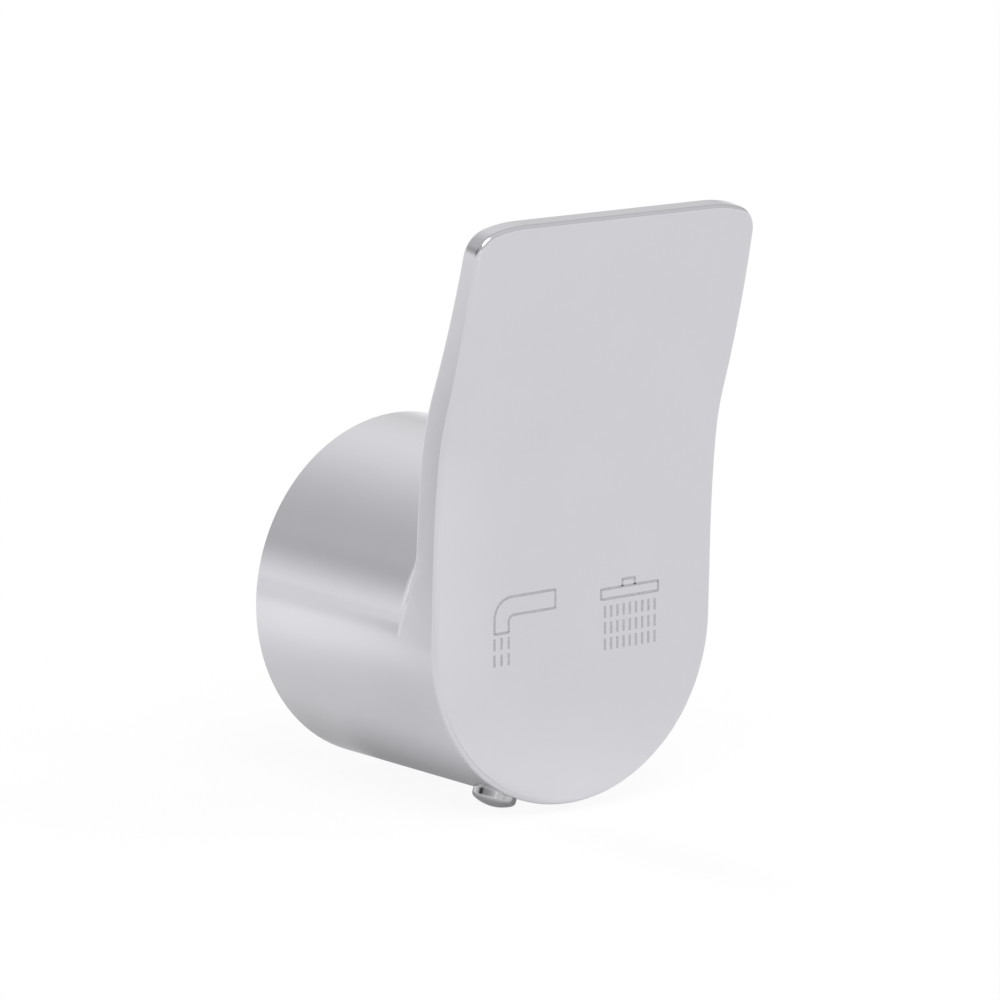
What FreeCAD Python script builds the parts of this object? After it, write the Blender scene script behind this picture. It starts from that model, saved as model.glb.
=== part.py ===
import FreeCAD, Part
import math
import os

# Chrome-plated diverter handle for a bath and shower mixer, in millimetres.
# A hollow round hub carries a finger blade that rises from its front face and leans
# towards the user. Inside the hub a ribbed boss with a splined socket takes the valve
# spindle, and a set screw under a cover plug locks it there.
# -Y is the front, +Y the valve side, +Z is up along the blade. The origin is on the hub
# axis at the mouth of the spindle socket. The functions build the handle with y = 0 on the
# flat front face, and into_frame moves each finished piece to that origin.

# Hub
hub_diameter = 50.0
hub_depth = 41.8
hub_wall = 2.6
face_wall = 4.0
rear_edge_chamfer = 0.4

# Blade: flat at the hub, then a gentle sweep, a tighter bend and a slight easing back
blade_top = 60.95
blade_thickness = 4.9
blade_taper_deg = 3.0
sweep_start = 12.0
sweep_radius = 150.0
sweep_lean_deg = 5.3
bend_radius = 36.0
bend_lean_deg = 17.2
easing_radius = 180.0
shoulder_radius = 19.5
shoulder_turn_deg = 16.0
corner_radius = 3.9
front_edge_radius = 0.7
back_edge_radius = 0.6
edge_run_out = 3.0
root_fillet = 3.5

# Spindle socket in its boss
boss_diameter = 16.0
boss_reach = 27.0
boss_chamfer = 1.0
lead_in_diameter = 10.0
lead_in_depth = 6.0
spline_root_diameter = 8.2
spline_tip_diameter = 7.4
spline_teeth = 20
socket_floor = 4.5

# Webs that tie the boss to the hub wall, one of them thick enough for the set screw
web_count = 4
rib_thickness = 2.2
rib_reach = 17.0
pillar_width = 10.5

# Set screw and cover plug, on one radial line left of straight down
screw_angle_deg = 18.0
screw_line_depth = 7.2
screw_diameter = 5.0
screw_length = 10.0
screw_point_chamfer = 1.0
screw_key_width = 2.5
screw_key_depth = 3.0
screw_standback = 0.5
screw_clearance = 0.05
plug_diameter = 6.4
plug_length = 7.0
plug_proud = 2.0
plug_dome_height = 0.95
plug_edge_radius = 0.8
plug_inner_chamfer = 0.4
plug_clearance = 0.04

# Modelling allowances: how far tools overshoot, how closely points are matched,
# and how far off an axis a face may look and still count as facing that way
overshoot = 5.0
near = 0.01
facing_deg = 26.0

facing = math.cos(math.radians(facing_deg))
hub_radius = hub_diameter / 2
back_of_root = blade_thickness + root_fillet
corner_drop = shoulder_radius - (shoulder_radius - corner_radius) * math.cos(math.radians(shoulder_turn_deg))
axis_y = FreeCAD.Vector(0, 1, 0)


def vec(x, y, z):
    return FreeCAD.Vector(x, y, z)


def rod(diameter, start, end):
    # Round bar along Y between two depths behind the front face
    return Part.makeCylinder(diameter / 2, end - start, vec(0, start, 0), axis_y)


def block(x_range, y_range, z_range):
    size = [high - low for low, high in (x_range, y_range, z_range)]
    return Part.makeBox(*size, vec(x_range[0], y_range[0], z_range[0]))


def middle_normal(face):
    u_low, u_high, v_low, v_high = face.ParameterRange
    return face.normalAt((u_low + u_high) / 2, (v_low + v_high) / 2)


def rim_of(faces):
    # Edges that belong to only one face of a group: the group's outline
    edges = [edge for face in faces for edge in face.Edges]
    return [edge for edge in edges if sum(edge.isSame(other) for other in edges) == 1]


def follows(edge, test):
    return all(test(point) for point in edge.discretize(7))


def level_edges(solid, height):
    edges = [edge for edge in solid.Edges if not edge.Degenerated]
    return [edge for edge in edges if follows(edge, lambda point: abs(point.z - height) < near)]


# Blade profile

def toward_centre(lean):
    # Unit vector, square to a rising line of the given lean, towards the front
    return vec(0, -math.cos(lean), -math.sin(lean))


def bend(start, lean_from, lean_to, radius):
    # Arc in the YZ plane that turns a rising line from one lean to another
    side = 1 if lean_to > lean_from else -1
    centre = start + toward_centre(lean_from) * (side * radius)
    through = centre - toward_centre((lean_from + lean_to) / 2) * (side * radius)
    end = centre - toward_centre(lean_to) * (side * radius)
    return Part.Arc(start, through, end).toShape(), end


def rising_line(offset, taper, top):
    # One face of the blade from axis height up to the height top, as a tangent chain:
    # straight, sweep, bend, easing. A back face is set off and leans a little more.
    sweep_lean = math.radians(sweep_lean_deg)
    bend_lean = math.radians(bend_lean_deg) + taper
    foot = vec(0, offset, 0)
    knee = vec(0, offset, sweep_start)
    sweep, sweep_end = bend(knee, 0, sweep_lean, sweep_radius + offset)
    turn, turn_end = bend(sweep_end, sweep_lean, bend_lean, bend_radius + offset)
    top_lean = math.asin(math.sin(bend_lean) - (top - turn_end.z) / easing_radius)
    easing, tip = bend(turn_end, bend_lean, top_lean, easing_radius)
    return [Part.makeLine(foot, knee), sweep, turn, easing], tip, top_lean


def blade_slab(half_width):
    # The blade's side profile, extruded wider and taller than the handle
    taper = math.radians(blade_taper_deg)
    overshot_top = blade_top + overshoot
    front, front_tip = rising_line(0, 0, overshot_top)[:2]
    back, back_tip = rising_line(blade_thickness, taper, overshot_top)[:2]
    across_top = Part.makeLine(front_tip, back_tip)
    across_foot = Part.makeLine(vec(0, blade_thickness, 0), vec(0, 0, 0))
    profile = Part.Face(Part.Wire(front + [across_top] + back[::-1] + [across_foot]))
    profile.translate(vec(-half_width, 0, 0))
    return profile.extrude(vec(2 * half_width, 0, 0))


# Blade outline, seen square to its tip

def corner_arc(side, centre, radius, turn_from, turn_to):
    # Arc in the XZ plane, its angles measured from straight up towards one side
    turns = (turn_from, (turn_from + turn_to) / 2, turn_to)
    points = [centre + vec(side * math.sin(turn), 0, math.cos(turn)) * radius for turn in turns]
    return Part.Arc(*points).toShape(), points[0], points[-1]


def top_corner(side):
    # From the level top, a long shoulder arc and then a tight one into the straight side
    turn = math.radians(shoulder_turn_deg)
    between = (shoulder_radius - corner_radius) * math.sin(turn)
    shoulder_centre = vec(side * (hub_radius - corner_radius - between), 0, -shoulder_radius)
    corner_centre = vec(side * (hub_radius - corner_radius), 0, -corner_drop)
    shoulder, start = corner_arc(side, shoulder_centre, shoulder_radius, 0, turn)[:2]
    corner, _, end = corner_arc(side, corner_centre, corner_radius, turn, math.pi / 2)
    return [shoulder, corner], start, end


def outline_prism():
    # All that lies within the blade's outline, square to the front face at the tip
    reach = 2 * blade_top
    left, left_start, left_end = top_corner(-1)
    right, right_start, right_end = top_corner(1)
    left_foot = left_end - vec(0, 0, reach)
    right_foot = right_end - vec(0, 0, reach)
    lines = [(left_end, left_foot), (left_foot, right_foot), (right_foot, right_end), (left_start, right_start)]
    edges = left + right + [Part.makeLine(*ends) for ends in lines]
    outline = Part.Face(Part.Wire(Part.__sortEdges__(edges)))
    outline.translate(vec(0, -reach, 0))
    prism = outline.extrude(vec(0, 2 * reach, 0))
    tip, tip_lean = rising_line(0, 0, blade_top)[1:]
    prism.rotate(vec(0, 0, 0), vec(1, 0, 0), math.degrees(tip_lean))
    prism.translate(tip)
    return prism


# Outer form of the casting

def chamfer_rear_edge(solid, size):
    rear = max(solid.Faces, key=lambda face: face.CenterOfMass.y)
    return solid.makeChamfer(size, rear.Edges)


def hub_half(z_range):
    reach = hub_radius + overshoot
    hub = chamfer_rear_edge(rod(hub_diameter, 0, hub_depth), rear_edge_chamfer)
    return hub.common(block((-reach, reach), (0, hub_depth), z_range))


def upper_half():
    # Hub and blade above axis height, blended where the hub meets the blade's back
    half_width = hub_radius + root_fillet + overshoot
    joined = blade_slab(half_width).fuse(hub_half((0, hub_radius + overshoot))).removeSplitter()

    def on_junction(point):
        on_hub = abs(math.hypot(point.x, point.z) - hub_radius) < near
        return on_hub and near < point.y < blade_thickness + near

    junction = [edge for edge in joined.Edges if follows(edge, on_junction)]
    blended = joined.makeFillet(root_fillet, junction)
    reach = half_width + overshoot
    around = block((-reach, reach), (-blade_top, back_of_root), (0, blade_top + 2 * overshoot))
    return blended.cut(around.cut(outline_prism()))


def round_front_edge(solid):
    front = [face for face in solid.Faces if middle_normal(face).y < -facing]
    return solid.makeFillet(front_edge_radius, rim_of(front))


def round_back_edge(solid):
    # The free edge of the blade's back, from the hub blend up one side and down the other
    back = [face for face in solid.Faces if middle_normal(face).y > facing]
    back = [face for face in back if face.CenterOfMass.y < back_of_root]

    def on_outline(point):
        return abs(point.x) > hub_radius - near or point.z > blade_top - corner_drop - blade_thickness

    free = [edge for edge in rim_of(back) if follows(edge, on_outline)]
    return solid.makeFillet(back_edge_radius, free)


def outer_form():
    # The blade's back edge is rounded down to where it runs out in the side of the hub
    upper = upper_half()
    reach = hub_radius + overshoot
    y_range = (-blade_top, hub_depth)
    blade = upper.common(block((-reach, reach), y_range, (edge_run_out, blade_top + overshoot)))
    blade = round_back_edge(blade.Solids[0])
    foot = upper.common(block((-reach, reach), y_range, (0, edge_run_out)))
    lower = hub_half((-reach, 0))
    form = blade.fuse([foot, lower]).removeSplitter()
    return round_front_edge(form.Solids[0])


# Inside of the casting

def on_screw_line(shape):
    # Turns a piece built along +Z from the hub axis to the set screw's radial line
    shape.rotate(vec(0, 0, 0), axis_y, 180 + screw_angle_deg)
    shape.translate(vec(0, screw_line_depth, 0))
    return shape


def radial_web(thickness, reach, turn_deg):
    # Wall from the hub axis out into the hub wall, standing on the front wall
    half = thickness / 2
    web = block((-half, half), (face_wall - hub_wall / 2, reach), (0, hub_radius - hub_wall / 2))
    web.rotate(vec(0, 0, 0), axis_y, turn_deg)
    return web


def boss():
    return chamfer_rear_edge(rod(boss_diameter, face_wall - hub_wall / 2, boss_reach), boss_chamfer)


def webs():
    first = 180 + screw_angle_deg
    step = 360 / web_count
    pillar = radial_web(pillar_width, screw_line_depth + pillar_width / 2, first)
    ribs = [radial_web(rib_thickness, rib_reach, first + step * number) for number in range(1, web_count)]
    return [pillar] + ribs


def hub_hollow():
    # The space in the hub, around the boss and its webs
    hollow = rod(hub_diameter - 2 * hub_wall, face_wall, hub_depth + overshoot)
    for inner in [boss()] + webs():
        hollow = hollow.cut(inner)
    return hollow


def spline_star():
    # Outline of the splined hole: straight flanks between tooth tips and roots
    radii = (spline_root_diameter / 2, spline_tip_diameter / 2)
    step = math.pi / spline_teeth
    points = []
    for number in range(2 * spline_teeth):
        radius = radii[number % 2]
        points.append(vec(radius * math.cos(step * number), 0, radius * math.sin(step * number)))
    return Part.Face(Part.makePolygon(points + points[:1]))


def spindle_socket():
    spline_end = boss_reach - lead_in_depth
    star = spline_star()
    star.translate(vec(0, socket_floor, 0))
    splined = star.extrude(vec(0, spline_end - socket_floor, 0))
    return splined.fuse(rod(lead_in_diameter, spline_end, boss_reach + overshoot))


def screw_hole():
    # Tapped hole from the socket, widened under the hub's surface for the cover plug
    plug_seat = hub_radius - (plug_length - plug_proud)
    tapped = Part.makeCylinder(screw_diameter / 2, hub_radius)
    plug_bore = plug_diameter / 2 + plug_clearance
    widened = Part.makeCylinder(plug_bore, plug_length + overshoot, vec(0, 0, plug_seat))
    return on_screw_line(tapped.fuse(widened))


# Pieces

def handle_body():
    body = outer_form()
    for space in (hub_hollow(), spindle_socket(), screw_hole()):
        body = body.cut(space)
    return body


def set_screw():
    # Socket set screw, its plain outside standing for the thread
    radius = screw_diameter / 2 - screw_clearance
    tip = spline_root_diameter / 2 + screw_standback
    shank = Part.makeCylinder(radius, screw_length, vec(0, 0, tip))
    shank = shank.makeChamfer(screw_point_chamfer, level_edges(shank, tip))
    head = tip + screw_length
    key_corner = screw_key_width / math.sqrt(3)
    turns = [math.radians(60 * number) for number in range(7)]
    corners = [vec(key_corner * math.cos(turn), key_corner * math.sin(turn), head) for turn in turns]
    key_hole = Part.Face(Part.makePolygon(corners)).extrude(vec(0, 0, -screw_key_depth))
    return on_screw_line(shank.cut(key_hole))


def cover_plug():
    # Smooth plug with a low domed end that stands a little proud of the hub
    radius = plug_diameter / 2
    seat = hub_radius - (plug_length - plug_proud)
    crown = seat + plug_length
    rim = crown - plug_dome_height
    dome_radius = (radius ** 2 + plug_dome_height ** 2) / (2 * plug_dome_height)
    half_turn = math.asin(radius / dome_radius) / 2
    on_dome = vec(0, 0, crown - dome_radius) + vec(math.sin(half_turn), 0, math.cos(half_turn)) * dome_radius
    corners = [vec(0, 0, crown), vec(0, 0, seat), vec(radius, 0, seat), vec(radius, 0, rim)]
    dome = Part.Arc(corners[-1], on_dome, corners[0]).toShape()
    section = Part.Face(Part.Wire(Part.makePolygon(corners).Edges + [dome]))
    plug = section.revolve(vec(0, 0, 0), vec(0, 0, 1), 360)
    plug = plug.makeFillet(plug_edge_radius, level_edges(plug, rim))
    plug = plug.makeChamfer(plug_inner_chamfer, level_edges(plug, seat))
    return on_screw_line(plug)


def into_frame(shape):
    shape.translate(vec(0, -boss_reach, 0))
    return shape


pieces = {
    "handle_body": handle_body(),
    "set_screw": set_screw(),
    "cover_plug": cover_plug(),
}

os.makedirs("parts", exist_ok=True)
for name, piece in pieces.items():
    shape = into_frame(piece)
    solid = shape.Solids[0]
    print(name, "valid", shape.isValid(), "solids", len(shape.Solids), "volume", round(solid.Volume, 1))
    solid.exportStep("parts/" + name + ".step")
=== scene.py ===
import math
import bmesh
import bpy
from mathutils import Matrix, Vector


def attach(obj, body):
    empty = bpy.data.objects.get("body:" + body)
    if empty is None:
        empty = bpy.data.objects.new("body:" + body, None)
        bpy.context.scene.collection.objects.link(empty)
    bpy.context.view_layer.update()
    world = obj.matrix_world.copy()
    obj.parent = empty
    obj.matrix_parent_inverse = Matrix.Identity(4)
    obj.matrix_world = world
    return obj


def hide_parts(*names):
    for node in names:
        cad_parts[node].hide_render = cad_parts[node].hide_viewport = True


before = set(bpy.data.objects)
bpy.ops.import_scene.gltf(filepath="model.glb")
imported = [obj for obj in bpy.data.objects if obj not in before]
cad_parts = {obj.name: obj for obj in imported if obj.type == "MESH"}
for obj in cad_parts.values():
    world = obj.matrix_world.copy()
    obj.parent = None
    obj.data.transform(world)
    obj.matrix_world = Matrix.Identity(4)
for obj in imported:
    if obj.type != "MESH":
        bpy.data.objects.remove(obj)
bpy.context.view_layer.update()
scene = bpy.context.scene
mm = 0.001
nodeGap = 200  # between neighbours in the node editor
print("frame loaded:", ", ".join(sorted(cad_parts)))


# small helpers for node trees and pieces
def addNode(tree, kind, place, **settings):
    node = tree.nodes.new(kind)
    node.location = (place[0] * nodeGap, -place[1] * nodeGap)
    for name, value in settings.items():
        setattr(node, name, value)
    return node


def setInputs(node, **values):
    for name, value in values.items():
        node.inputs[name].default_value = value
    return node


def wire(tree, *pairs):
    for source, target in pairs:
        tree.links.new(source, target)


def mathNode(tree, place, operation, first, second=None):
    node = addNode(tree, "ShaderNodeMath", place, operation=operation)
    for socket, value in zip(node.inputs, (first, second)):
        if isinstance(value, bpy.types.NodeSocket):
            tree.links.new(value, socket)
        elif value is not None:
            socket.default_value = value
    return node.outputs[0]


def softSpot(tree, place, reach, radius, added):
    # fades from added in the middle to nothing at the radius
    fade = addNode(tree, "ShaderNodeMapRange", place, interpolation_type="SMOOTHSTEP")
    setInputs(fade, **{"From Min": 0.0, "From Max": radius, "To Min": added, "To Max": 0.0})
    wire(tree, (reach, fade.inputs["Value"]))
    return fade.outputs["Result"]


def heading(azimuth, elevation):
    # direction with azimuth 0 along +Y and 90 along +X, both in degrees
    turn, rise = math.radians(azimuth), math.radians(elevation)
    return Vector((math.sin(turn) * math.cos(rise), math.cos(turn) * math.cos(rise), math.sin(rise)))


def newPiece(name, data):
    piece = bpy.data.objects.new(name, data)
    scene.collection.objects.link(piece)
    return piece


def freeze(piece):
    # the evaluated shape becomes the piece's own mesh
    ready = piece.evaluated_get(bpy.context.evaluated_depsgraph_get())
    mesh = bpy.data.meshes.new_from_object(ready)
    piece.modifiers.clear()
    piece.data = mesh
    mesh.name = piece.name
    return piece


# plating and metal finishes
def platedFinishGroup():
    # tone, gloss and fine relief that wander over a metal surface
    group = bpy.data.node_groups.new("platedFinish", "ShaderNodeTree")
    inputs = (("Tone", "NodeSocketColor"), ("Tone Drift", "NodeSocketFloat"), ("Gloss", "NodeSocketFloat"),
              ("Haze", "NodeSocketFloat"), ("Haze Size", "NodeSocketFloat"),
              ("Grain Size", "NodeSocketFloat"))
    outputs = (("Color", "NodeSocketColor"), ("Roughness", "NodeSocketFloat"), ("Height", "NodeSocketFloat"))
    for name, kind in inputs:
        group.interface.new_socket(name, in_out="INPUT", socket_type=kind)
    for name, kind in outputs:
        group.interface.new_socket(name, in_out="OUTPUT", socket_type=kind)
    source = addNode(group, "NodeGroupInput", (0, 0)).outputs
    where = addNode(group, "ShaderNodeTexCoord", (0, 2)).outputs["Object"]
    result = addNode(group, "NodeGroupOutput", (6, 0)).inputs
    hazeScale = mathNode(group, (1, 1), "DIVIDE", 1.0, source["Haze Size"])
    grainScale = mathNode(group, (1, 2), "DIVIDE", 1.0, source["Grain Size"])
    haze = setInputs(addNode(group, "ShaderNodeTexNoise", (2, 1)), Detail=4.0, Roughness=0.55)
    grain = setInputs(addNode(group, "ShaderNodeTexNoise", (2, 2)), Detail=6.0, Roughness=0.6)
    wire(group, (where, haze.inputs["Vector"]), (hazeScale, haze.inputs["Scale"]),
         (where, grain.inputs["Vector"]), (grainScale, grain.inputs["Scale"]))
    smear = mathNode(group, (3, 1), "SUBTRACT", haze.outputs["Fac"], 0.5)  # noise runs from 0 to 1
    rough = mathNode(group, (4, 1), "MULTIPLY", smear, source["Haze"])
    rough = mathNode(group, (5, 1), "ADD", rough, source["Gloss"])
    shade = mathNode(group, (3, 0), "MULTIPLY", smear, source["Tone Drift"])
    shade = mathNode(group, (4, 0), "ADD", shade, 1.0)
    tinted = addNode(group, "ShaderNodeVectorMath", (5, 0), operation="SCALE")
    wire(group, (source["Tone"], tinted.inputs[0]), (shade, tinted.inputs["Scale"]),
         (tinted.outputs[0], result["Color"]), (rough, result["Roughness"]),
         (grain.outputs["Fac"], result["Height"]))
    return group


finishGroup = platedFinishGroup()

finishes = {  # the group's inputs, then the height of the relief and how metallic it is
    "platedChrome": {
        "Tone": (0.615, 0.61, 0.64, 1), "Tone Drift": 0.05, "Gloss": 0.11, "Haze": 0.06,
        "Haze Size": 14 * mm, "Grain Size": 5 * mm, "relief": 0.004 * mm, "metal": 1.0,
    },
    # the plug's tone is partly its own plating and partly painted shade: it is set darker than the handle's
    # chrome for its place under the hub
    "plugChrome": {
        "Tone": (0.49, 0.49, 0.50, 1), "Tone Drift": 0.05, "Gloss": 0.07, "Haze": 0.05,
        "Haze Size": 4 * mm, "Grain Size": 2 * mm, "relief": 0.002 * mm, "metal": 1.0,
    },
    "castRecess": {
        "Tone": (0.36, 0.36, 0.37, 1), "Tone Drift": 0.5, "Gloss": 0.44, "Haze": 0.25,
        "Haze Size": 6 * mm, "Grain Size": 0.5 * mm, "relief": 0.06 * mm, "metal": 1.0,
    },
    "screwSteel": {
        "Tone": (0.30, 0.30, 0.31, 1), "Tone Drift": 0.5, "Gloss": 0.34, "Haze": 0.2,
        "Haze Size": 1.5 * mm, "Grain Size": 0.3 * mm, "relief": 0.01 * mm, "metal": 1.0,
    },
    "etchedLine": {
        "Tone": (0.33, 0.33, 0.345, 1), "Tone Drift": 0.6, "Gloss": 0.62, "Haze": 0.3,
        "Haze Size": 0.6 * mm, "Grain Size": 0.08 * mm, "relief": 0.01 * mm, "metal": 0.0,
    },
}


def metalFinish(name):
    values = finishes[name]
    material = bpy.data.materials.new(name)
    material.use_nodes = True
    tree = material.node_tree
    shader = setInputs(tree.nodes["Principled BSDF"], Metallic=values["metal"]).inputs
    finish = addNode(tree, "ShaderNodeGroup", (-3, 0), node_tree=finishGroup)
    for socket in finish.inputs:
        socket.default_value = values[socket.name]
    bump = setInputs(addNode(tree, "ShaderNodeBump", (-2, 1)), Strength=1.0, Distance=values["relief"])
    wire(tree, (finish.outputs["Color"], shader["Base Color"]),
         (finish.outputs["Roughness"], shader["Roughness"]),
         (finish.outputs["Height"], bump.inputs["Height"]), (bump.outputs["Normal"], shader["Normal"]))
    return material


materials = {name: metalFinish(name) for name in finishes}
print("finishes made:", ", ".join(materials))


# solid metal pieces, as smooth copies of the frame's nodes
smoothing = {
    "mergeReach": 0.0002 * mm,  # joins the corners of the loose triangles
    "sharpAngle": 43,           # degrees, edges sharper than this stay crisp
}


def mergedCopy(name, node):
    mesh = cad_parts[node].data.copy()
    mesh.name = name
    mesh.materials.clear()
    form = bmesh.new()
    form.from_mesh(mesh)
    bmesh.ops.remove_doubles(form, verts=form.verts, dist=smoothing["mergeReach"])
    for face in form.faces:
        face.smooth = True
    for edge in form.edges:
        edge.smooth = edge.calc_face_angle(0) < math.radians(smoothing["sharpAngle"])
    form.to_mesh(mesh)
    form.free()
    mesh.attributes.remove(mesh.attributes["custom_normal"])  # the triangles' own normals
    return newPiece(name, mesh)


def evenShading(piece):
    weighted = piece.modifiers.new("evenShading", "WEIGHTED_NORMAL")
    weighted.mode = "FACE_AREA_WITH_ANGLE"
    weighted.keep_sharp = True


casting = {
    "frontFace": -27.0 * mm,    # plane of the flat front, along Y
    "recessRadius": 22.5 * mm,  # everything inside this and behind the front wall is bare casting
    "recessFloor": -23.1 * mm,
    "rootEdge": {               # where the thin rounded edge runs out beside the blade's root
        "inner": 24.4 * mm, "outer": 24.995 * mm,   # from the middle, to both sides
        "front": -22.6 * mm, "back": -20.0 * mm,
        "low": 4.0 * mm, "high": 13.5 * mm,
        "passes": 12,
    },
}


def evenRoot(piece):
    # takes the ripple out of that edge
    zone = casting["rootEdge"]
    points = [point.index for point in piece.data.vertices
              if zone["inner"] < abs(point.co.x) < zone["outer"]
              and zone["front"] < point.co.y < zone["back"]
              and zone["low"] < point.co.z < zone["high"]]
    piece.vertex_groups.new(name="rootEdge").add(points, 1.0, "REPLACE")
    even = piece.modifiers.new("evenRoot", "CORRECTIVE_SMOOTH")
    even.vertex_group = "rootEdge"
    even.smooth_type = "LENGTH_WEIGHTED"
    even.use_only_smooth = True
    even.iterations = zone["passes"]


def isRecess(centre):
    return math.hypot(centre.x, centre.z) < casting["recessRadius"] and centre.y > casting["recessFloor"]


def chromeHandle():
    piece = mergedCopy("chromeHandle", "handle_body")
    evenRoot(piece)
    evenShading(piece)
    freeze(piece)
    for name in ("platedChrome", "castRecess"):
        piece.data.materials.append(materials[name])
    for face in piece.data.polygons:
        face.material_index = 1 if isRecess(face.center) else 0
    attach(piece, "root")
    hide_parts("handle_body")
    return piece


def chromePlug():
    piece = mergedCopy("chromePlug", "cover_plug")
    evenShading(piece)
    freeze(piece)
    piece.data.materials.append(materials["plugChrome"])
    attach(piece, "root")
    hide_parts("cover_plug")


def steelScrew():
    # keeps the frame's own shape
    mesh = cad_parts["set_screw"].data
    mesh.materials.clear()
    mesh.materials.append(materials["screwSteel"])


handle = chromeHandle()
chromePlug()
steelScrew()
print("metal pieces made:", len(handle.data.polygons), "faces on the handle")


# line signs on the front face: outlines that follow a path, and rows of water dashes
etching = {
    "lineWidth": 0.40 * mm,
    "lineDepth": 0.02 * mm,  # half of it stands proud of the face
    "cornerSteps": 10,
    "turn": 1.6,             # degrees, anticlockwise seen from the front
}


def signTree():
    tree = bpy.data.node_groups.new("etchedSign", "GeometryNodeTree")
    sockets = (("Geometry", "NodeSocketGeometry"), ("Line Width", "NodeSocketFloat"),
               ("Line Depth", "NodeSocketFloat"), ("Columns", "NodeSocketInt"), ("Rows", "NodeSocketInt"),
               ("Column Gap", "NodeSocketFloat"), ("Row Gap", "NodeSocketFloat"),
               ("Dash Length", "NodeSocketFloat"), ("Spray Middle", "NodeSocketVector"),
               ("Face Place", "NodeSocketVector"), ("Corner Steps", "NodeSocketInt"),
               ("Finish", "NodeSocketMaterial"))
    for name, kind in sockets:
        tree.interface.new_socket(name, in_out="INPUT", socket_type=kind)
    tree.interface.new_socket("Geometry", in_out="OUTPUT", socket_type="NodeSocketGeometry")
    source = addNode(tree, "NodeGroupInput", (0, 0)).outputs
    outline = signOutline(tree, source)
    spray = signSpray(tree, source)
    joined = addNode(tree, "GeometryNodeJoinGeometry", (6, 0))
    upright = addNode(tree, "GeometryNodeTransform", (7, 0))
    setInputs(upright, Rotation=(math.radians(90), math.radians(-etching["turn"]), 0))
    real = addNode(tree, "GeometryNodeRealizeInstances", (8, 0))
    flat = setInputs(addNode(tree, "GeometryNodeSetShadeSmooth", (9, 0)), **{"Shade Smooth": False})
    painted = addNode(tree, "GeometryNodeSetMaterial", (10, 0))
    result = addNode(tree, "NodeGroupOutput", (11, 0))
    wire(tree, (outline, joined.inputs[0]), (spray, joined.inputs[0]),
         (joined.outputs[0], upright.inputs["Geometry"]),
         (source["Face Place"], upright.inputs["Translation"]),
         (upright.outputs["Geometry"], real.inputs["Geometry"]),
         (real.outputs["Geometry"], flat.inputs["Geometry"]),
         (flat.outputs["Geometry"], painted.inputs["Geometry"]),
         (source["Finish"], painted.inputs["Material"]),
         (painted.outputs["Geometry"], result.inputs["Geometry"]))
    return tree


def signOutline(tree, source):
    # a fine flat bar along each path, with the corners rounded by the bend of each point
    path = addNode(tree, "GeometryNodeMeshToCurve", (1, 0))
    bend = addNode(tree, "GeometryNodeInputNamedAttribute", (1, 1), data_type="FLOAT")
    setInputs(bend, Name="bend")
    rounded = addNode(tree, "GeometryNodeFilletCurve", (2, 0), mode="POLY")
    setInputs(rounded, **{"Limit Radius": True})
    level = addNode(tree, "GeometryNodeSetCurveNormal", (3, 0), mode="Z_UP")
    section = addNode(tree, "GeometryNodeCurvePrimitiveQuadrilateral", (3, 1))
    bar = setInputs(addNode(tree, "GeometryNodeCurveToMesh", (4, 0)), **{"Fill Caps": True})
    wire(tree, (source["Geometry"], path.inputs["Mesh"]), (path.outputs["Curve"], rounded.inputs["Curve"]),
         (bend.outputs["Attribute"], rounded.inputs["Radius"]),
         (source["Corner Steps"], rounded.inputs["Count"]),
         (rounded.outputs["Curve"], level.inputs["Curve"]), (level.outputs["Curve"], bar.inputs["Curve"]),
         (section.outputs["Curve"], bar.inputs["Profile Curve"]),
         (source["Line Width"], section.inputs["Width"]), (source["Line Depth"], section.inputs["Height"]))
    return bar.outputs["Mesh"]


def signSpray(tree, source):
    # the same dash on every point of a grid
    columnsLess = mathNode(tree, (1, 3), "SUBTRACT", source["Columns"], 1.0)
    rowsLess = mathNode(tree, (1, 4), "SUBTRACT", source["Rows"], 1.0)
    width = mathNode(tree, (2, 3), "MULTIPLY", columnsLess, source["Column Gap"])
    height = mathNode(tree, (2, 4), "MULTIPLY", rowsLess, source["Row Gap"])
    grid = addNode(tree, "GeometryNodeMeshGrid", (3, 3))
    dashSize = addNode(tree, "ShaderNodeCombineXYZ", (3, 5))
    dash = addNode(tree, "GeometryNodeMeshCube", (4, 5))
    moved = addNode(tree, "GeometryNodeTransform", (4, 3))
    spray = addNode(tree, "GeometryNodeInstanceOnPoints", (5, 3))
    wire(tree, (width, grid.inputs["Size X"]), (height, grid.inputs["Size Y"]),
         (source["Columns"], grid.inputs["Vertices X"]), (source["Rows"], grid.inputs["Vertices Y"]),
         (source["Line Width"], dashSize.inputs["X"]), (source["Dash Length"], dashSize.inputs["Y"]),
         (source["Line Depth"], dashSize.inputs["Z"]), (dashSize.outputs[0], dash.inputs["Size"]),
         (grid.outputs["Mesh"], moved.inputs["Geometry"]),
         (source["Spray Middle"], moved.inputs["Translation"]),
         (moved.outputs["Geometry"], spray.inputs["Points"]),
         (dash.outputs["Mesh"], spray.inputs["Instance"]))
    return spray.outputs["Instances"]


etchedSign = signTree()


def outlineMesh(name, paths):
    # paths in millimetres across and up the face, each corner with its bend radius
    mesh = bpy.data.meshes.new(name)
    points, edges, bends = [], [], []
    for path in paths:
        first, count = len(points), len(path["corners"])
        points += [(across * mm, rise * mm, 0) for across, rise, radius in path["corners"]]
        bends += [radius * mm for across, rise, radius in path["corners"]]
        sides = count if path["closed"] else count - 1
        edges += [(first + i, first + (i + 1) % count) for i in range(sides)]
    mesh.from_pydata(points, edges, [])
    mesh.attributes.new("bend", "FLOAT", "POINT").data.foreach_set("value", bends)
    return mesh


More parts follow.
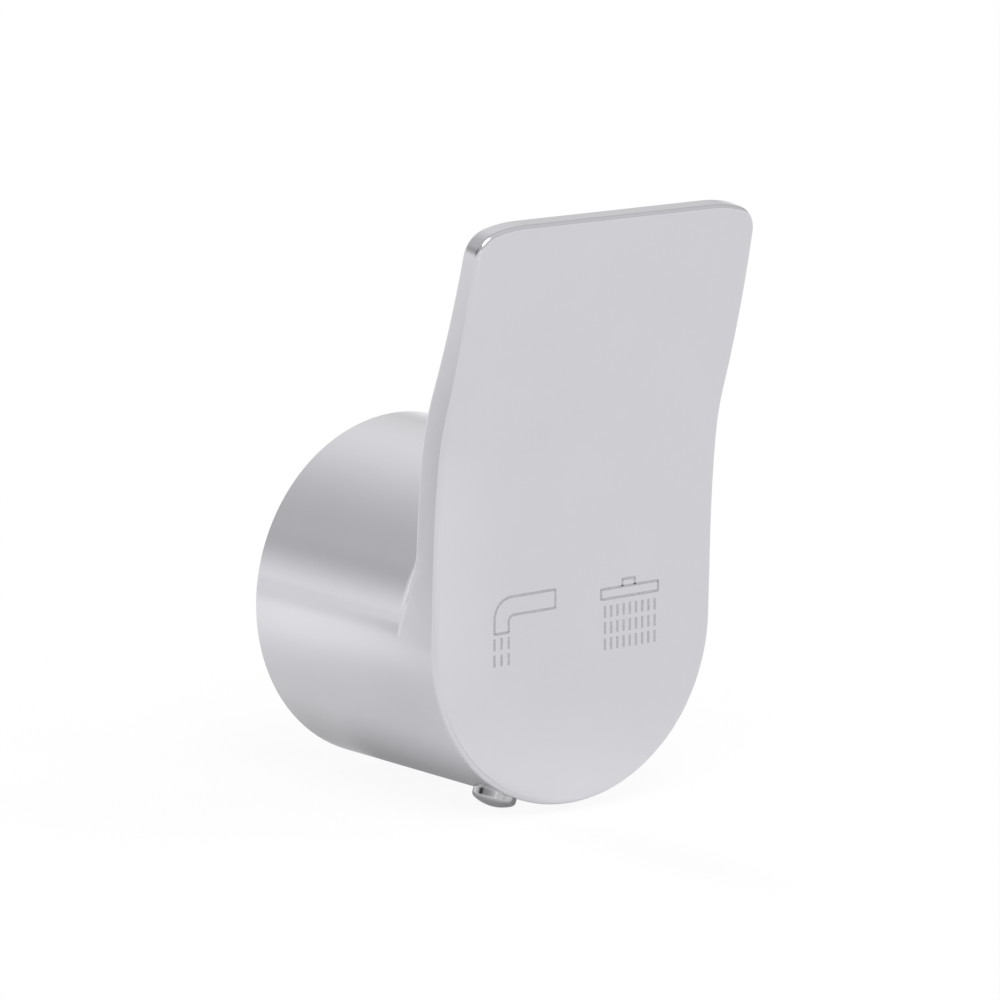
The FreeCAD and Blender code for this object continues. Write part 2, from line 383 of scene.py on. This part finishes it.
def etchSign(name, paths, spray):
    piece = newPiece(name, outlineMesh(name, paths))
    across, rise = spray["middle"]
    settings = {
        "Line Width": etching["lineWidth"], "Line Depth": etching["lineDepth"],
        "Corner Steps": etching["cornerSteps"], "Face Place": (0, casting["frontFace"], 0),
        "Columns": spray["columns"], "Rows": spray["rows"], "Column Gap": spray["columnGap"] * mm,
        "Row Gap": spray["rowGap"] * mm, "Dash Length": spray["dash"] * mm,
        "Spray Middle": (across * mm, rise * mm, 0), "Finish": materials["etchedLine"],
    }
    modifier = piece.modifiers.new("etchedSign", "NODES")
    modifier.node_group = etchedSign
    for item in etchedSign.interface.items_tree:
        if item.in_out == "INPUT" and item.name in settings:
            modifier[item.identifier] = settings[item.name]
    freeze(piece)
    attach(piece, "root")
    return piece


spoutSign = {  # millimetres across the face and up from the hub's axis
    "inner": -3.25, "outlet": -14.2, "outletInner": -11.65,
    "top": 6.54, "under": 3.88, "mouth": 1.47,
    "outerBend": 3.0, "innerBend": 0.9, "corner": 0.12,
    "spray": {"columns": 3, "rows": 2, "columnGap": 1.28, "rowGap": 2.37, "dash": 1.72,
              "middle": (-12.93, -1.22)},
}


def spoutOutline(sign):
    corner = sign["corner"]
    corners = ((sign["inner"], sign["top"], corner), (sign["outlet"], sign["top"], sign["outerBend"]),
               (sign["outlet"], sign["mouth"], corner), (sign["outletInner"], sign["mouth"], corner),
               (sign["outletInner"], sign["under"], sign["innerBend"]),
               (sign["inner"], sign["under"], corner))
    return [{"closed": True, "corners": corners}]


showerSign = {  # millimetres across the face and up from the hub's axis
    "left": 5.04, "right": 15.40, "under": 3.90, "top": 5.36, "corner": 0.12,
    "neckLeft": 8.87, "neckRight": 11.15, "neckTop": 6.40,
    "spray": {"columns": 9, "rows": 3, "columnGap": 1.13, "rowGap": 2.34, "dash": 1.73,
              "middle": (10.26, -0.3)},
}


def showerOutline(sign):
    corner = sign["corner"]
    head = ((sign["left"], sign["under"], corner), (sign["right"], sign["under"], corner),
            (sign["right"], sign["top"], corner), (sign["left"], sign["top"], corner))
    neck = ((sign["neckLeft"], sign["top"], 0), (sign["neckLeft"], sign["neckTop"], corner),
            (sign["neckRight"], sign["neckTop"], corner), (sign["neckRight"], sign["top"], 0))
    return [{"closed": True, "corners": head}, {"closed": False, "corners": neck}]


signs = [etchSign("spoutSign", spoutOutline(spoutSign), spoutSign["spray"]),
         etchSign("showerSign", showerOutline(showerSign), showerSign["spray"])]
print("signs etched:", [len(sign.data.polygons) for sign in signs], "faces")


# studio: a pale floor with painted pools of light and painted shade, and a soft room for the metal to
# mirror, and a soft sun over the camera
floorPlan = {
    "height": -26.3 * mm,
    "radius": 4.0,      # metres
    "sides": 96,
    "paleness": 0.84,
    "seen": 0.93,       # share of plain white for the camera
    "mirrored": 0.2,    # and in polished metal
    "spots": {          # painted pools of light and painted shade on the floor's colour, for the metal to mirror: metres across and back, length and width, turn in degrees, paleness added
        "paintedLightPool": (-0.086, 0.087, 0.12, 0.025, 128.5, 0.18),
        "sideShade": (-0.2015, 0.1885, 0.26, 0.014, 130, -0.40),
        "edgeGlow": (0.068, -0.146, 0.10, 0.012, -51.5, 0.09),
        "frontGlow": (-0.09, -0.30, 0.30, 0.20, 0, 0.13),
        "hubShade": (-0.03, 0.015, 0.06, 0.06, 0, -0.16),
        "paintedDoorstepLight": (-0.01, -0.05, 0.08, 0.08, 0, 0.08),
        "frontShade": (-0.006, -0.056, 0.013, 0.042, 0, -0.30),
    },
}


# the floor's colour: its even paleness plus the spots of painted light and painted shade
def floorPalenessWithPaintedLight(tree):
    where = addNode(tree, "ShaderNodeTexCoord", (-4, 2)).outputs["Object"]
    total = floorPlan["paleness"]
    for row, spot in enumerate(floorPlan["spots"].values(), start=2):
        across, behind, length, width, turn, added = spot
        local = addNode(tree, "ShaderNodeMapping", (-3, row), vector_type="TEXTURE")
        setInputs(local, Location=(across, behind, floorPlan["height"]), Rotation=(0, 0, math.radians(turn)),
                  Scale=(length, width, 1))
        reach = addNode(tree, "ShaderNodeVectorMath", (-2, row), operation="LENGTH")
        wire(tree, (where, local.inputs["Vector"]), (local.outputs["Vector"], reach.inputs[0]))
        faded = softSpot(tree, (-1, row), reach.outputs["Value"], 1.0, added)
        total = mathNode(tree, (0, row), "ADD", faded, total)
    return total


def floorFinish():
    material = bpy.data.materials.new("paleFloor")
    material.use_nodes = True
    tree = material.node_tree
    tree.nodes.clear()
    rays = addNode(tree, "ShaderNodeLightPath", (0, 0)).outputs
    seen = mathNode(tree, (1, 0), "MULTIPLY", rays["Is Camera Ray"], floorPlan["seen"])
    polished = mathNode(tree, (1, 1), "MAXIMUM", rays["Is Glossy Ray"], rays["Is Transmission Ray"])
    mirrored = mathNode(tree, (2, 1), "MULTIPLY", polished, floorPlan["mirrored"])
    share = mathNode(tree, (3, 0), "MAXIMUM", seen, mirrored)
    matt = addNode(tree, "ShaderNodeBsdfDiffuse", (3, 1))
    white = setInputs(addNode(tree, "ShaderNodeEmission", (3, 2)), Color=(1, 1, 1, 1), Strength=1.0)
    mixed = addNode(tree, "ShaderNodeMixShader", (4, 0))
    result = addNode(tree, "ShaderNodeOutputMaterial", (5, 0))
    wire(tree, (floorPalenessWithPaintedLight(tree), matt.inputs["Color"]), (share, mixed.inputs[0]),
         (matt.outputs[0], mixed.inputs[1]), (white.outputs[0], mixed.inputs[2]),
         (mixed.outputs[0], result.inputs["Surface"]))
    return material


def paleFloor():
    mesh = bpy.data.meshes.new("floor")
    form = bmesh.new()
    bmesh.ops.create_circle(form, cap_ends=True, segments=floorPlan["sides"], radius=floorPlan["radius"])
    bmesh.ops.translate(form, verts=form.verts, vec=(0, 0, floorPlan["height"]))
    form.to_mesh(mesh)
    form.free()
    mesh.materials.append(floorFinish())
    floor = newPiece("floor", mesh)


room = {
    "tone": 0.67,          # walls and ceiling
    "horizon": 0.42,       # extra at the foot of the walls
    "horizonRise": 17,     # degrees to where that fades out
    "patches": {           # azimuth from +Y, elevation and radius in degrees, brightness added
        "rearWindow": (18, 32, 44, 0.36),
        "rearRightWall": (42, 3, 18, -0.16),
        "leftWall": (-92, 14, 44, -0.22),
        "doorway": (-60, 12, 27, -0.62),
        "frontLamp": (-146, 3, 11, 0.70),
        "frontWall": (180, 6, 30, -0.15),
        "rightLamp": (142, 50, 70, 0.20),
    },
}


def softRoom():
    world = bpy.data.worlds.new("softRoom")
    scene.world = world
    world.use_nodes = True
    tree = world.node_tree
    tree.nodes.clear()
    where = addNode(tree, "ShaderNodeTexCoord", (0, 0)).outputs["Generated"]
    rise = addNode(tree, "ShaderNodeSeparateXYZ", (1, 0))
    wire(tree, (where, rise.inputs[0]))
    elevation = mathNode(tree, (2, 0), "ABSOLUTE", mathNode(tree, (2, 1), "ARCSINE", rise.outputs["Z"]))
    total = softSpot(tree, (3, 0), elevation, math.radians(room["horizonRise"]), room["horizon"])
    total = mathNode(tree, (5, 0), "ADD", total, room["tone"])
    for row, (azimuth, height, radius, added) in enumerate(room["patches"].values(), start=2):
        cosine = addNode(tree, "ShaderNodeVectorMath", (1, row), operation="DOT_PRODUCT")
        cosine.inputs[1].default_value = heading(azimuth, height)
        wire(tree, (where, cosine.inputs[0]))
        angle = mathNode(tree, (2, row), "ARCCOSINE", cosine.outputs["Value"])
        patch = softSpot(tree, (3, row), angle, math.radians(radius), added)
        total = mathNode(tree, (5, row), "ADD", total, patch)
    rays = addNode(tree, "ShaderNodeLightPath", (6, 1)).outputs
    seen = mathNode(tree, (7, 1), "MAXIMUM", total, rays["Is Camera Ray"])  # white behind the floor
    light = setInputs(addNode(tree, "ShaderNodeBackground", (8, 0)), Color=(1, 1, 1, 1))
    result = addNode(tree, "ShaderNodeOutputWorld", (9, 0))
    wire(tree, (seen, light.inputs["Strength"]), (light.outputs[0], result.inputs["Surface"]))


sunPlan = {
    "azimuth": -150,  # degrees from +Y, and above level
    "elevation": 47,
    "width": 36,      # degrees across, for soft shadows
    "strength": 1.95,
}


def softSun():
    data = bpy.data.lights.new("softSun", "SUN")
    data.angle = math.radians(sunPlan["width"])
    data.energy = sunPlan["strength"]
    lamp = newPiece("softSun", data)
    toward = heading(sunPlan["azimuth"], sunPlan["elevation"])
    lamp.location = toward
    lamp.rotation_euler = toward.to_track_quat("Z", "Y").to_euler()


paleFloor()
softRoom()
softSun()
print("studio lit")


# camera at the photograph's viewing angle
photoView = {
    "imageSide": 1000,                # pixels
    "azimuth": -38.475,               # degrees round the object from the front, and above level
    "elevation": 10.926,
    "roll": 1.337,
    "distance": 1.82,                 # metres to the target
    "target": (0, -15 * mm, 17 * mm),
    "targetPixel": (523.61, 499.88),  # where the target lies in the image
    "pixelsPerMetre": 7038.3,         # at the target
    "sensor": 36.0,                   # millimetres
}


def photoCamera(view):
    turn, rise, roll = (math.radians(view[name]) for name in ("azimuth", "elevation", "roll"))
    back = Vector((math.sin(turn) * math.cos(rise), -math.cos(turn) * math.cos(rise), math.sin(rise)))
    level = Vector((math.cos(turn), math.sin(turn), 0))
    upward = back.cross(level)
    imageRight = math.cos(roll) * level + math.sin(roll) * upward
    imageUp = math.cos(roll) * upward - math.sin(roll) * level
    middle = view["imageSide"] / 2
    aside = (middle - view["targetPixel"][0]) / view["pixelsPerMetre"]
    above = (view["targetPixel"][1] - middle) / view["pixelsPerMetre"]
    data = bpy.data.cameras.new("photoCamera")
    data.sensor_width = view["sensor"]
    data.lens = view["pixelsPerMetre"] * view["distance"] * view["sensor"] / view["imageSide"]
    camera = newPiece("photoCamera", data)
    camera.matrix_world = Matrix((imageRight, imageUp, back)).transposed().to_4x4()
    camera.location = Vector(view["target"]) + view["distance"] * back + aside * imageRight + above * imageUp
    scene.camera = camera


photoCamera(photoView)
scene.view_settings.view_transform = "Standard"
print("camera set")
